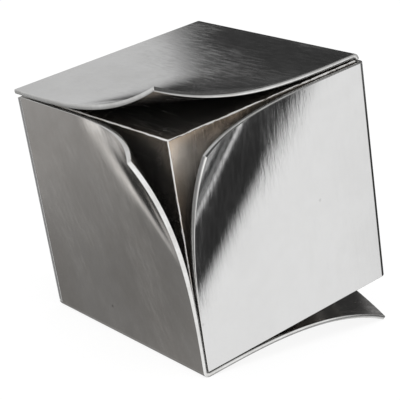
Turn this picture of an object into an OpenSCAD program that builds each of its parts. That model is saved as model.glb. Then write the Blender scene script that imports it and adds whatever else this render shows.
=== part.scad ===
// A welded sheet-metal cube inside three folded outer skins.
// Four corners of the skins are curled away from the cube. One of them is the foot
// that the object leans on, so the whole cube stands tilted on its lower left fold.
//
// The pieces are drawn in the cube's own frame: the inner cube fills 0 to core_size
// on each axis, the left skin faces -X, the front skin faces -Y and the top faces +Z.
// standing() then tilts that frame onto the floor and centres it.

/* [Inner cube] */
// Edge length of the inner cube
core_size = 152; // [110:1:220]
// Thickness of the inner cube's plates
core_wall = 3; // [1.5:0.5:8]

/* [Skins] */
// Thickness of the three outer skins
skin_t = 3; // [1.5:0.25:4]
// Space between the inner cube and the skins, which the bonding pads fill
pad_t = 1; // [0.5:0.25:2]
// Inside radius of the folds
fold_r = 1.5; // [0.75:0.25:4]
// Space left where the edge of one skin meets another skin
seam = 0.5; // [0.2:0.1:0.6]
// Set-back of the top skin's front edge from the inner cube's front face
top_setback = 1; // [0:0.5:3]
// How far the top skin stands out past the rear face
top_overhang = 2.3; // [0:0.1:5]
// How far the bottom skin stands out past the right face
foot_overhang = 2; // [0:0.1:5]

/* [Curled corners] */
// How the curl tightens: its angle grows with this power of the distance
curl_power = 1.75; // [1.2:0.05:2.5]
// Angle of the top skin's corner at its tip
top_curl = 42.5; // [20:0.5:60]
// Angle of the left skin's corner at its tip
left_curl = 48; // [20:0.5:60]
// Angle of the front skin's corner at its tip
front_curl = 42; // [20:0.5:60]
// Angle of the foot at its tip
foot_curl = 41; // [25:0.5:60]
// Flat left beside the top curl, along the front edge and along the left edge
top_flat = [4, 4]; // [2:0.5:60]
// Flat left beside the left curl, along the top edge and along the near edge
left_flat = [49, 2.5]; // [2:0.5:60]
// Flat left beside the front curl, along the near edge and along the top edge
front_flat = [3.5, 10]; // [2:0.5:60]
// Flat left beside the foot's curl, along the front edge
foot_flat = 8; // [2:0.5:60]
// Angle between the foot's front edge and the direction in which it curls
foot_turn = 34; // [25:0.5:45]
// Width of the blunt cut across each curled tip
tip_width = 0.5; // [0.3:0.1:2]

/* [Bonding pads] */
// Side of each square pad
pad_side = 24; // [10:1:30]
// Distance from the inner cube's edges to the middle of the pads beside them
pad_edge = 24; // [20:1:35]

/* [Hidden] */

$fn = 48;
// Facets along each curl, and steps used to add up its shape
curl_facets = 28;
curl_steps = 24;
// How far a cutter runs past the faces that it cuts
cut_past = 1;

// Places in the cube's frame
stand_off = pad_t + skin_t;
outer = core_size + stand_off;
fold_outer = fold_r + skin_t;
low_tangent = fold_outer - stand_off;
high_tangent = outer - fold_outer;
inside_lip = high_tangent - seam;
above_foot = seam - pad_t;

// Unit vectors
RIGHT = [1, 0, 0];
REAR = [0, 1, 0];
UP = [0, 0, 1];

// ---- Curled corners -------------------------------------------------------------
// Each face is described in its own flat frame: x and y run along the sheet's two
// edges away from the corner that curls, and z points out of the cube. The sheet's
// outer surface is at z = 0.
// A face is [origin, ex, ey, length in x, length in y, turn, reach, curl]:
// turn is the angle from x to the direction in which the sheet curls, and reach is
// the distance from the corner to the line where the curl starts.

function face_with_flats(origin, ex, ey, size, flats, curl) =
    let (along_x = size.x - flats[0], along_y = size.y - flats[1],
         turn = atan2(along_x, along_y))
    [origin, ex, ey, size.x, size.y, turn, along_x * cos(turn), curl];

function top_face() = face_with_flats(
    [-stand_off, top_setback, outer], RIGHT, REAR,
    [high_tangent + stand_off, outer + top_overhang - top_setback], top_flat, top_curl);

function left_face() = face_with_flats(
    [-stand_off, -stand_off, core_size], REAR, -UP,
    [core_size + stand_off + pad_t - seam, core_size - low_tangent], left_flat, left_curl);

function front_face() = face_with_flats(
    [above_foot, -stand_off, inside_lip], -UP, RIGHT,
    [inside_lip - above_foot, high_tangent - above_foot], front_flat, front_curl);

// The foot's curl starts on a line that leaves the sheet through its rear edge
function foot_face() =
    let (size_x = outer + foot_overhang - low_tangent)
    [[outer + foot_overhang, -stand_off, -stand_off], -RIGHT, REAR,
     size_x, outer + stand_off, foot_turn, (size_x - foot_flat) * cos(foot_turn), foot_curl];

function sum(list, i = 0) = i < len(list) ? list[i] + sum(list, i + 1) : 0;

// Angle of the sheet at distance s past the line where the curl starts
function angle_at(face, s) = face[7] * pow(s / face[6], curl_power);

// How far the curled sheet has gone along its flat direction, and outwards
function curl_at(face, s) =
    let (angles = [for (k = [0:curl_steps - 1]) angle_at(face, s * (k + 0.5) / curl_steps)])
    s / curl_steps * [sum([for (a = angles) cos(a)]), sum([for (a = angles) sin(a)])];

// The point (x, y) of the flat sheet after curling, depth below its outer surface
function curled(face, x, y, depth) =
    let (toward = [cos(face[5]), sin(face[5])],
         s = max(0, face[6] - [x, y] * toward),
         moved = curl_at(face, s),
         a = angle_at(face, s),
         back = s - moved[0] - depth * sin(a))
    [x + back * toward.x, y + back * toward.y, moved[1] - depth * cos(a)];

// Distance from the curl's start to the rear corner, where the start line misses it
function corner_station(face) = face[6] - face[4] * sin(face[5]);

// Distances of the creases of the faceted curl, so that each turns by the same angle
function stations(face) =
    let (last = face[6] - tip_width * sin(face[5]) * cos(face[5]),
         even = [for (i = [0:curl_facets]) last * pow(i / curl_facets, 1 / curl_power)],
         extra = corner_station(face),
         gap = last / curl_facets / 4)
    extra <= 0 ? even
        : concat([for (s = even) if (s < extra - gap) s], [extra],
                 [for (s = even) if (s > extra + gap) s]);

// The two ends of the straight line across the flat sheet at distance s
function crease_ends(face, s) =
    let (rest = face[6] - s, y_end = rest / sin(face[5]))
    [[rest / cos(face[5]), 0],
     y_end <= face[4] ? [0, y_end]
         : [(rest - face[4] * sin(face[5])) / cos(face[5]), face[4]]];

function curl_rings(face) = [
    for (s = stations(face)) let (ends = crease_ends(face, s))
        each [curled(face, ends[0].x, ends[0].y, 0), curled(face, ends[1].x, ends[1].y, 0),
              curled(face, ends[1].x, ends[1].y, skin_t), curled(face, ends[0].x, ends[0].y, skin_t)]
];

function in_cube_frame(face, p) = face[0] + p.x * face[1] + p.y * face[2] + p.z * cross(face[1], face[2]);

// ---- How it stands --------------------------------------------------------------
// The floor touches the lower left fold, a cylinder, and the lowest point of the foot.

function tilt_onto(p) =
    let (a = p.x - low_tangent, b = p.z - low_tangent)
    asin(-fold_outer / norm([a, b])) - atan2(b, a);

foot_points = [for (p = curl_rings(foot_face())) in_cube_frame(foot_face(), p)];
tilt = max([for (p = foot_points) tilt_onto(p)]);
floor_level = low_tangent * (sin(tilt) + cos(tilt)) - fold_outer;

function tilted_x(p) = p.x * cos(tilt) - p.z * sin(tilt);

curl_points = concat(foot_points, [
    for (face = [top_face(), left_face(), front_face()]) for (p = curl_rings(face))
        in_cube_frame(face, p)]);
flat_corners = [for (x = [-stand_off, outer], z = [low_tangent, high_tangent]) [x, 0, z]];
reach_x = [for (p = concat(curl_points, flat_corners)) tilted_x(p)];
reach_y = concat([for (p = curl_points) p.y], [-stand_off, outer + top_overhang]);
middle = [(min(reach_x) + max(reach_x)) / 2, (min(reach_y) + max(reach_y)) / 2];

module standing() {
    translate([-middle.x, -middle.y, -floor_level]) rotate([0, -tilt, 0]) children();
}

// ---- Inner cube -----------------------------------------------------------------

// One square plate, lying on z = 0 with its outer face up, mitred on its four edges
module mitred_plate() {
    half = core_size / 2;
    difference() {
        translate([-half, -half, -core_wall]) cube([core_size, core_size, core_wall]);
        for (side = [0:3])
            rotate(side * 90) translate([half, 0, 0]) rotate([0, 45, 0])
                translate([0, -core_size, -core_size]) cube([core_size, 2 * core_size, 2 * core_size]);
    }
}

module core_plate(turn) {
    color("dimgray") standing()
        translate([core_size, core_size, core_size] / 2) rotate(turn)
            translate([0, 0, core_size / 2]) mitred_plate();
}

module core_top() { core_plate([0, 0, 0]); }
module core_bottom() { core_plate([180, 0, 0]); }
module core_left() { core_plate([0, -90, 0]); }
module core_right() { core_plate([0, 90, 0]); }
module core_front() { core_plate([90, 0, 0]); }
module core_rear() { core_plate([-90, 0, 0]); }

// ---- Skins ----------------------------------------------------------------------

// Puts a face's flat frame into the cube's frame
module on_face(face) {
    o = face[0];
    x = face[1];
    y = face[2];
    z = cross(x, y);
    multmatrix([[x.x, y.x, z.x, o.x], [x.y, y.y, z.y, o.y], [x.z, y.z, z.z, o.z], [0, 0, 0, 1]])
        children();
}

// The flat part of a face: what the curl leaves of the rectangle
module flat_part(face) {
    ends = crease_ends(face, 0);
    open_corner = ends[1].x > 0 ? [] : [[0, face[4]]];
    translate([0, 0, -skin_t]) linear_extrude(skin_t)
        polygon(concat([ends[0], [face[3], 0], [face[3], face[4]]], open_corner, [ends[1]]));
}

// The curled part of a face, a ring of four points at each crease
module curled_part(face) {
    rings = curl_rings(face);
    last = len(rings) / 4 - 1;
    walls = [for (i = [0:last - 1]) for (k = [0:3])
        let (a = 4 * i + k, b = 4 * i + (k + 1) % 4)
        each [[a, b + 4, b], [a, a + 4, b + 4]]];
    end = 4 * last;
    polyhedron(points = rings, faces = concat([[0, 1, 2, 3]], walls, [[end + 3, end + 2, end + 1, end]]));
}

module curled_face(face) {
    on_face(face) union() {
        flat_part(face);
        curled_part(face);
    }
}

// A quarter-round fold along +Z, from its -X side round to its -Y side
module fold(length) {
    rotate(180) rotate_extrude(angle = 90) translate([fold_r, 0]) square([skin_t, length]);
}

// A fold whose axis runs along Y between two places
module fold_along_y(x, z, from, to, turn) {
    translate([x, to, z]) rotate([90, 0, 0]) rotate(turn) fold(to - from);
}

// Top sheet with its right edge rolled over
module top_skin() {
    color("silver") standing() union() {
        curled_face(top_face());
        fold_along_y(high_tangent, high_tangent, top_setback, outer + top_overhang, 180);
    }
}

// Left sheet folded under the cube, where its free corner is the foot
module side_skin() {
    color("darkgray") standing() union() {
        curled_face(left_face());
        fold_along_y(low_tangent, low_tangent, -stand_off, outer, 0);
        curled_face(foot_face());
    }
}

// Front sheet wrapped round the right face and the rear face
module wrap_skin() {
    height = inside_lip - above_foot;
    color("gainsboro") standing() union() {
        curled_face(front_face());
        translate([high_tangent, low_tangent, above_foot]) rotate(90) fold(height);
        translate([outer - skin_t, low_tangent, above_foot])
            cube([skin_t, high_tangent - low_tangent, height]);
        translate([high_tangent, high_tangent, above_foot]) rotate(180) fold(height);
        difference() {
            translate([-stand_off, outer - skin_t, above_foot])
                cube([high_tangent + stand_off, skin_t, height]);
            fold_relief();
        }
    }
}

// Space that the rear flange of the wrap skin leaves for the end of the side skin's fold
module fold_relief() {
    reach = low_tangent + seam;
    translate([-stand_off - cut_past, outer - skin_t - cut_past, above_foot - cut_past])
        cube([reach + stand_off + cut_past, skin_t + 2 * cut_past, reach - above_foot + cut_past]);
}

// ---- Bonding pads ---------------------------------------------------------------
// Square pads between the inner cube and the flat parts of the skins

near = pad_edge;
far = core_size - pad_edge;
mid = core_size / 2;

module pads(places, turn) {
    color("black") standing()
        translate([core_size, core_size, core_size] / 2) rotate(turn)
            for (p = places)
                translate([p.x - mid - pad_side / 2, p.y - mid - pad_side / 2, core_size / 2])
                    cube([pad_side, pad_side, pad_t]);
}

module pads_top() { pads([[far, far], [far, mid], [mid, far]], [0, 0, 0]); }
module pads_bottom() { pads([[near, near], [near, mid], [near, far]], [180, 0, 0]); }
module pads_left() { pads([[near, near], [near, mid], [mid, far], [near, far]], [0, -90, 0]); }
module pads_right() { pads([[near, near], [near, far], [far, near], [far, far]], [0, 90, 0]); }
module pads_front() { pads([[far, near], [far, mid], [mid, near]], [90, 0, 0]); }
module pads_rear() { pads([[near, near], [near, far], [far, near], [far, far]], [-90, 0, 0]); }

core_top();
core_bottom();
core_left();
core_right();
core_front();
core_rear();
top_skin();
side_skin();
wrap_skin();
pads_top();
pads_bottom();
pads_left();
pads_right();
pads_front();
pads_rear();
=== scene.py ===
"""Looks of the welded steel cube inside its three folded and curled outer skins.

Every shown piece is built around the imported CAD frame, in metres and in the row frame.
The skins are drawn as flat cut sheets and carried through their folds and curls by the
same rules as the CAD, and each surface gets a procedural finish.
"""

import logging
import math
from collections.abc import Sequence
from dataclasses import dataclass, field
from enum import Enum

import bpy
import numpy as np
from mathutils import Euler, Matrix, Vector

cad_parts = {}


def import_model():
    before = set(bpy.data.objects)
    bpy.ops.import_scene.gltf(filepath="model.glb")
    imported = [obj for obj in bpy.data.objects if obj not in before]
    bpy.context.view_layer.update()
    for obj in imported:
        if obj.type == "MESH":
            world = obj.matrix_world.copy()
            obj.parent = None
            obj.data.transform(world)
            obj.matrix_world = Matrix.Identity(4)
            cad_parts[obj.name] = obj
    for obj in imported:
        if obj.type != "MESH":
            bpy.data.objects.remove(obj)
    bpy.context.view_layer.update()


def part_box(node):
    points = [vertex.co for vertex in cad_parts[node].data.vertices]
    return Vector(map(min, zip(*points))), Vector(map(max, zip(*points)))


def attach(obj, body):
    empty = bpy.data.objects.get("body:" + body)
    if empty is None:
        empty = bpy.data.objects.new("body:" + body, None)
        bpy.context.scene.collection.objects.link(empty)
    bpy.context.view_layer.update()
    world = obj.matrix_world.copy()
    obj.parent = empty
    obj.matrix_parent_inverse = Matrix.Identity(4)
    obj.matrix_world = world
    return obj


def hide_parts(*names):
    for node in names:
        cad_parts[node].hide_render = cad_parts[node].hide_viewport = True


LOG = logging.getLogger("cube")
MM = 0.001
HALF_PI = math.pi / 2
ROOT = "root"

# What each mesh carries for its finish: its place on the flat sheet, and the distance to
# the nearest edge.
PLACE_ATTRIBUTE = "sheet_place"
EDGE_ATTRIBUTE = "edge_distance"

X_AXIS = np.array([1.0, 0.0, 0.0])
Y_AXIS = np.array([0.0, 1.0, 0.0])
Z_AXIS = np.array([0.0, 0.0, 1.0])


# ---- Sizes and stance -----------------------------------------------------------


@dataclass(frozen=True)
class CubeSizes:
    """Driving sizes of the inner cube and its skins, and the sizes that follow from them."""

    core: float = 152 * MM
    core_wall: float = 3 * MM
    sheet: float = 3 * MM
    pad: float = 1 * MM
    fold_inside: float = 1.5 * MM
    seam: float = 0.5 * MM
    top_setback: float = 1 * MM
    top_overhang: float = 2.3 * MM
    foot_overhang: float = 2 * MM
    curl_power: float = 1.75
    sheet_ease: float = 0.3 * MM
    core_ease: float = 1.0 * MM
    pad_side: float = 24 * MM
    pad_edge: float = 24 * MM
    mesh_step: float = 2.2 * MM

    @property
    def stand_off(self) -> float:
        """Distance from the inner cube to the outer surface of a skin."""
        return self.pad + self.sheet

    @property
    def outer(self) -> float:
        """Place of the outer surfaces on the cube's far sides."""
        return self.core + self.stand_off

    @property
    def fold_outer(self) -> float:
        """Outer radius of a fold."""
        return self.fold_inside + self.sheet

    @property
    def low_tangent(self) -> float:
        """Place where a flat skin meets a fold on the near sides."""
        return self.fold_outer - self.stand_off

    @property
    def high_tangent(self) -> float:
        """Place where a flat skin meets a fold on the far sides."""
        return self.outer - self.fold_outer

    @property
    def inside_lip(self) -> float:
        """Top edge of the wrap skin, just under the rolled edge of the top skin."""
        return self.high_tangent - self.seam

    @property
    def above_foot(self) -> float:
        """Bottom edge of the wrap skin, just above the bottom sheet."""
        return self.seam - self.pad


class CorePlate(Enum):
    """The six plates of the inner cube: outward normal and the two edges along it."""

    TOP = ("core_top", Z_AXIS, X_AXIS, Y_AXIS)
    BOTTOM = ("core_bottom", -Z_AXIS, Y_AXIS, X_AXIS)
    LEFT = ("core_left", -X_AXIS, Z_AXIS, Y_AXIS)
    RIGHT = ("core_right", X_AXIS, Y_AXIS, Z_AXIS)
    FRONT = ("core_front", -Y_AXIS, X_AXIS, Z_AXIS)
    REAR = ("core_rear", Y_AXIS, Z_AXIS, X_AXIS)


@dataclass(frozen=True)
class Stance:
    """How the cube's own frame stands in the row frame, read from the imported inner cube."""

    tilt: float
    cube_centre: np.ndarray
    row_centre: np.ndarray

    @classmethod
    def from_frame(cls, sizes: CubeSizes) -> "Stance":
        """Works out the stance from the boxes of the six core plates.

        Args:
            sizes: The cube's sizes.

        Returns:
            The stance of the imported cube.
        """
        boxes = [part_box(plate.value[0]) for plate in CorePlate]
        low = np.min([list(box[0]) for box in boxes], axis=0)
        high = np.max([list(box[1]) for box in boxes], axis=0)
        spread = (high[0] - low[0]) / (sizes.core * math.sqrt(2))
        tilt = math.asin(min(1.0, spread)) - math.pi / 4
        return cls(tilt, np.full(3, sizes.core / 2), (low + high) / 2)

    def to_row(self, points: np.ndarray) -> np.ndarray:
        """Turns and moves points of the cube's frame into the row frame.

        Args:
            points: Points, with x, y and z on the last axis.

        Returns:
            The same points in the row frame.
        """
        return self.turned(points - self.cube_centre) + self.row_centre

    def turned(self, vectors: np.ndarray) -> np.ndarray:
        """Turns directions of the cube's frame into the row frame.

        Args:
            vectors: Directions, with x, y and z on the last axis.

        Returns:
            The same directions in the row frame.
        """
        cos, sin = math.cos(self.tilt), math.sin(self.tilt)
        turn = np.array([[cos, 0.0, -sin], [0.0, 1.0, 0.0], [sin, 0.0, cos]])
        return vectors @ turn.T


# ---- Panels: how a flat sheet is carried into the cube's frame ---------------------

# A curl is added up over this many places, to a little past its tip.
CURL_PLACES = 1600
CURL_MARGIN = 1.05


@dataclass(frozen=True)
class FlatPanel:
    """A plain stretch of sheet between two folds."""

    length: float
    corner: np.ndarray
    along_u: np.ndarray
    along_v: np.ndarray
    normal: np.ndarray

    def place(self, u: np.ndarray, v: np.ndarray, depth: np.ndarray) -> np.ndarray:
        """Carries sheet points into the cube's frame.

        Args:
            u: Distance along the sheet from this panel's start.
            v: Distance across the sheet.
            depth: Depth below the sheet's outer surface.

        Returns:
            Points of the cube's frame.
        """
        flat = u[..., None] * self.along_u + v[..., None] * self.along_v
        return self.corner + flat - depth[..., None] * self.normal


@dataclass(frozen=True)
class FoldPanel:
    """A quarter-round fold whose axis runs across the sheet."""

    radius: float
    axis_start: np.ndarray
    along_v: np.ndarray
    first_normal: np.ndarray
    last_normal: np.ndarray

    @property
    def length(self) -> float:
        """Length of the fold on its outer surface."""
        return self.radius * HALF_PI

    def place(self, u: np.ndarray, v: np.ndarray, depth: np.ndarray) -> np.ndarray:
        """Carries sheet points round the fold.

        Args:
            u: Distance along the outer surface from the fold's start.
            v: Distance across the sheet.
            depth: Depth below the sheet's outer surface.

        Returns:
            Points of the cube's frame.
        """
        angle = (u / self.radius)[..., None]
        normal = np.cos(angle) * self.first_normal + np.sin(angle) * self.last_normal
        radius = (self.radius - depth)[..., None]
        return self.axis_start + v[..., None] * self.along_v + radius * normal


@dataclass(frozen=True)
class CurlPanel:
    """A face of the cube whose free corner curls outwards.

    Its x and y run along the two edges away from the free corner. The sheet bends about
    lines square to the direction turn, and its angle grows with a power of the distance
    past the line where the curl starts.
    """

    length: float
    corner: np.ndarray
    along_x: np.ndarray
    along_y: np.ndarray
    turn: float
    reach: float
    curl: float
    power: float
    x_across: bool = False
    from_end: bool = False

    @property
    def normal(self) -> np.ndarray:
        """Outward normal of the flat part."""
        return np.cross(self.along_x, self.along_y)

    def place(self, u: np.ndarray, v: np.ndarray, depth: np.ndarray) -> np.ndarray:
        """Carries sheet points onto the curled face.

        Args:
            u: Distance along the sheet from this panel's start.
            v: Distance across the sheet.
            depth: Depth below the sheet's outer surface.

        Returns:
            Points of the cube's frame.
        """
        x, y = (v, u) if self.x_across else (u, v)
        x = self.length - x if self.from_end else x
        toward_x, toward_y = math.cos(self.turn), math.sin(self.turn)
        past = np.maximum(0.0, self.reach - x * toward_x - y * toward_y)
        angle = self.curl * (past / self.reach) ** self.power
        along, out = self._travelled(past)
        back = past - along - depth * np.sin(angle)
        height = out - depth * np.cos(angle)
        flat = (x + back * toward_x)[..., None] * self.along_x
        flat = flat + (y + back * toward_y)[..., None] * self.along_y
        return self.corner + flat + height[..., None] * self.normal

    def _travelled(self, past: np.ndarray) -> tuple[np.ndarray, np.ndarray]:
        """Adds up the curl's shape along the sheet.

        Args:
            past: Distances past the line where the curl starts.

        Returns:
            How far the sheet has gone along its flat direction, and outwards.
        """
        steps = np.linspace(0.0, self.reach * CURL_MARGIN, CURL_PLACES)
        middle = (steps[1:] + steps[:-1]) / 2
        angle = self.curl * (middle / self.reach) ** self.power
        width = steps[1] - steps[0]
        along = np.concatenate([[0.0], np.cumsum(np.cos(angle)) * width])
        out = np.concatenate([[0.0], np.cumsum(np.sin(angle)) * width])
        return np.interp(past, steps, along), np.interp(past, steps, out)


def curled_panel(
    length: float,
    corner: Sequence[float],
    edges: tuple[np.ndarray, np.ndarray],
    size: tuple[float, float],
    flats: tuple[float, float],
    curl_deg: float,
    power: float,
    x_across: bool,
) -> CurlPanel:
    """Makes a curled face from the flat lengths that stay beside the curl.

    Args:
        length: Length of the panel along the sheet.
        corner: Place of the free corner before it is curled.
        edges: Directions of the face's two edges away from the free corner.
        size: Lengths of those two edges.
        flats: Flat lengths left at the far ends of those two edges.
        curl_deg: Angle of the sheet at the tip.
        power: How the curl tightens towards the tip.
        x_across: Whether the face's x runs across the sheet and not along it.

    Returns:
        The panel.
    """
    run_x, run_y = size[0] - flats[0], size[1] - flats[1]
    turn = math.atan2(run_x, run_y)
    reach = run_x * math.cos(turn)
    place = np.array(corner, float)
    return CurlPanel(
        length, place, *edges, turn, reach, math.radians(curl_deg), power, x_across
    )


Panel = FlatPanel | FoldPanel | CurlPanel


@dataclass(frozen=True)
class Cut:
    """A rectangle of the flat sheet's outline. The outline is the union of its cuts."""

    u_low: float
    u_high: float
    v_low: float
    v_high: float

    def shrunk(self, inset: float) -> "Cut":
        """Moves every side of the rectangle in.

        Args:
            inset: How far the sides move.

        Returns:
            The smaller rectangle.
        """
        return Cut(
            self.u_low + inset, self.u_high - inset, self.v_low + inset, self.v_high - inset
        )

    def inside(self, u: np.ndarray, v: np.ndarray) -> np.ndarray:
        """Distance from each point in to the rectangle's nearest side.

        Args:
            u: Distances along the sheet.
            v: Distances across the sheet.

        Returns:
            Distances, negative outside.
        """
        across = np.minimum(v - self.v_low, self.v_high - v)
        return np.minimum(np.minimum(u - self.u_low, self.u_high - u), across)


# ---- Mesh building --------------------------------------------------------------


@dataclass
class MeshParts:
    """The lists that make one mesh: points, faces, finishes, normals and attributes."""

    points: np.ndarray
    faces: list[tuple[int, ...]]
    finish_of: list[int]
    normals: np.ndarray
    places: np.ndarray
    distances: np.ndarray

    def to_object(self, name: str, finishes: Sequence[bpy.types.Material]) -> bpy.types.Object:
        """Makes the Blender object.

        Args:
            name: Name of the piece.
            finishes: Its materials, in the order that finish_of counts.

        Returns:
            The object, linked to the scene.
        """
        mesh = bpy.data.meshes.new(name)
        mesh.from_pydata(self.points.tolist(), [], self.faces)
        mesh.polygons.foreach_set("material_index", self.finish_of)
        mesh.polygons.foreach_set("use_smooth", [True] * len(self.faces))
        place = mesh.attributes.new(PLACE_ATTRIBUTE, "FLOAT_VECTOR", "POINT")
        place.data.foreach_set("vector", self.places.astype(np.float32).ravel())
        edge = mesh.attributes.new(EDGE_ATTRIBUTE, "FLOAT", "POINT")
        edge.data.foreach_set("value", self.distances.astype(np.float32))
        for finish in finishes:
            mesh.materials.append(finish)
        mesh.update()
        mesh.normals_split_custom_set_from_vertices(self.normals.tolist())
        piece = bpy.data.objects.new(name, mesh)
        bpy.context.scene.collection.objects.link(piece)
        return piece


# Stops that agree to a tenth of a micrometre are one line of the grid. The slacks keep
# rounding errors from adding a step or dropping the last line.
STOP_DIGITS = 7
STEP_SLACK = 1e-6
END_SLACK = 1e-9
SHORTEST = 1e-12
# Steps of a rounded arris, of a wall through the sheet's thickness, and of a fold.
EASE_STEPS = 4
WALL_STEPS = 4
FOLD_STEPS = 12
# How far the rounding of an arris turns before the bowed wall takes over.
RIM_ANGLE = math.radians(72)


def unit(vectors: np.ndarray) -> np.ndarray:
    """Scales vectors to length one.

    Args:
        vectors: Vectors, with their parts on the last axis.

    Returns:
        The unit vectors.
    """
    length = np.linalg.norm(vectors, axis=-1, keepdims=True)
    return vectors / np.maximum(length, SHORTEST)


def spaced(stops: Sequence[float], step: float) -> np.ndarray:
    """Fills the gaps between stops with even steps.

    Args:
        stops: Places that the grid has to pass through.
        step: Longest step between two lines.

    Returns:
        The places of all lines, in order.
    """
    marks = sorted(set(round(stop, STOP_DIGITS) for stop in stops))
    lines = [marks[0]]
    for low, high in zip(marks, marks[1:]):
        count = max(1, math.ceil((high - low) / step - STEP_SLACK))
        lines.extend(low + (high - low) * (k + 1) / count for k in range(count))
    return np.array(lines)


def eased_stops(low: float, high: float, ease: float) -> list[float]:
    """Places near two cut edges where the rounding of the arris needs a line.

    Args:
        low: Place of the first edge.
        high: Place of the second edge.
        ease: Radius of the rounding.

    Returns:
        The places, both edges among them.
    """
    run = ease * math.sin(RIM_ANGLE)
    angles = [RIM_ANGLE * k / EASE_STEPS for k in range(EASE_STEPS + 1)]
    insets = [run - ease * math.sin(angle) for angle in angles]
    return [low + inset for inset in insets] + [high - inset for inset in insets]


class SheetFace(Enum):
    """Which finish a face of a sheet takes."""

    OUTER = 0
    INNER = 1
    CUT = 2


@dataclass
class FoldedSheet:
    """One folded skin: its panels in order along the sheet, and its flat outline."""

    node: str
    panels: list[Panel]
    outline: list[Cut]
    sizes: CubeSizes
    stance: Stance
    polished_end: bool = False

    def place(self, u: np.ndarray, v: np.ndarray, depth: np.ndarray) -> np.ndarray:
        """Carries points of the flat sheet into the row frame.

        Args:
            u: Distance along the sheet.
            v: Distance across the sheet.
            depth: Depth below the outer surface.

        Returns:
            Points of the row frame.
        """
        found = np.zeros(u.shape + (3,))
        start = 0.0
        for number, panel in enumerate(self.panels):
            end = start + panel.length
            before = (u <= end) | (number == len(self.panels) - 1)
            here = before & ((u > start) | (number == 0))
            found[here] = panel.place(u[here] - start, v[here], depth[here])
            start = end
        return self.stance.to_row(found)

    def distance(self, u: np.ndarray, v: np.ndarray) -> np.ndarray:
        """Distance from each point in to the nearest cut edge.

        Args:
            u: Distances along the sheet.
            v: Distances across the sheet.

        Returns:
            Distances, negative outside the outline.
        """
        return np.max([cut.inside(u, v) for cut in self.outline], axis=0)

    def _grid(self) -> tuple[np.ndarray, np.ndarray]:
        """Lays grid lines through the cut edges, their rounding, the folds and between.

        Returns:
            Grid places along and across the sheet, as two square arrays.
        """
        ease, step = self.sizes.sheet_ease, self.sizes.mesh_step
        across = [s for cut in self.outline for s in eased_stops(cut.v_low, cut.v_high, ease)]
        along = [s for cut in self.outline for s in eased_stops(cut.u_low, cut.u_high, ease)]
        start = 0.0
        for panel in self.panels:
            along.append(start)
            if isinstance(panel, FoldPanel):
                along.extend(start + panel.length * k / FOLD_STEPS for k in range(FOLD_STEPS))
            start += panel.length
        last = max(cut.u_high for cut in self.outline)
        along = [stop for stop in along if stop <= last + END_SLACK]
        return np.meshgrid(spaced(along, step), spaced(across, step), indexing="ij")

    def build(self) -> MeshParts:
        """Builds the sheet with its thickness and its eased, slightly bowed cut edges.

        Returns:
            The parts of its mesh.
        """
        ease, thick = self.sizes.sheet_ease, self.sizes.sheet
        # The outline moves in by the depth of the bow, which then brings the walls back out.
        wall = thick - 2 * ease * (1 - math.cos(RIM_ANGLE))
        bow = HALF_PI - RIM_ANGLE
        bow_radius = wall / 2 / math.sin(bow)
        self.outline = [cut.shrunk(bow_radius * (1 - math.cos(bow))) for cut in self.outline]
        u, v = self._grid()
        inset = self.distance(u, v)
        run = ease * math.sin(RIM_ANGLE)
        lean = np.clip((run - inset) / ease, 0.0, math.sin(RIM_ANGLE))
        sink = ease * (1 - np.sqrt(1 - lean**2))
        outward, sideways = self._directions(u, v)
        upright = np.sqrt(1 - lean**2)[..., None]
        rim = lean[..., None] * sideways
        points = [self.place(u, v, sink), self.place(u, v, thick - sink)]
        normals = [unit(upright * outward + rim), unit(rim - upright * outward)]
        places = [np.stack([u, v, depth], -1) for depth in (sink, thick - sink)]
        for step in range(1, WALL_STEPS):
            angle = bow * (1 - 2 * step / WALL_STEPS)
            depth = np.full_like(u, thick / 2 - bow_radius * math.sin(angle))
            proud = bow_radius * (math.cos(angle) - math.cos(bow))
            points.append(self.place(u, v, depth) + proud * sideways)
            normals.append(unit(math.sin(angle) * outward + math.cos(angle) * sideways))
            places.append(np.stack([u, v, depth], -1))
        faces, finish_of = self._faces(u, v)
        used = np.unique(np.concatenate([np.array(face) for face in faces]))
        renumber = {int(old): new for new, old in enumerate(used)}
        return MeshParts(
            points=np.concatenate([p.reshape(-1, 3) for p in points])[used],
            faces=[tuple(renumber[k] for k in face) for face in faces],
            finish_of=finish_of,
            normals=np.concatenate([n.reshape(-1, 3) for n in normals])[used],
            places=np.concatenate([p.reshape(-1, 3) for p in places])[used],
            distances=np.tile(inset.ravel(), len(points))[used],
        )

    def _directions(self, u: np.ndarray, v: np.ndarray) -> tuple[np.ndarray, np.ndarray]:
        """Finds the sheet's outward normal and the way out to its nearest cut edge.

        Args:
            u: Distances along the sheet.
            v: Distances across the sheet.

        Returns:
            Unit normals, and unit directions towards the nearest edge.
        """
        tiny = 0.001 * MM
        flat = np.zeros_like(u)
        normal = unit(self.place(u, v, flat) - self.place(u, v, flat + tiny))
        way_u = unit(self.place(u + tiny, v, flat) - self.place(u - tiny, v, flat))
        way_v = unit(self.place(u, v + tiny, flat) - self.place(u, v - tiny, flat))
        slope_u = self.distance(u - tiny, v) - self.distance(u + tiny, v)
        slope_v = self.distance(u, v - tiny) - self.distance(u, v + tiny)
        sideways = unit(slope_u[..., None] * way_u + slope_v[..., None] * way_v)
        return normal, sideways

    def _faces(self, u: np.ndarray, v: np.ndarray) -> tuple[list[tuple[int, ...]], list[int]]:
        """Lists the faces of both surfaces and of the walls between them.

        Args:
            u: Grid places along the sheet.
            v: Grid places across the sheet.

        Returns:
            The faces, and the finish of each.
        """
        rows, columns = u.shape
        middle_u = (u[1:, 1:] + u[:-1, :-1]) / 2
        middle_v = (v[1:, 1:] + v[:-1, :-1]) / 2
        inset = self.distance(middle_u, middle_v)
        present = inset > 0
        last = u.max() - self.sizes.sheet_ease
        under = rows * columns
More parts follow.
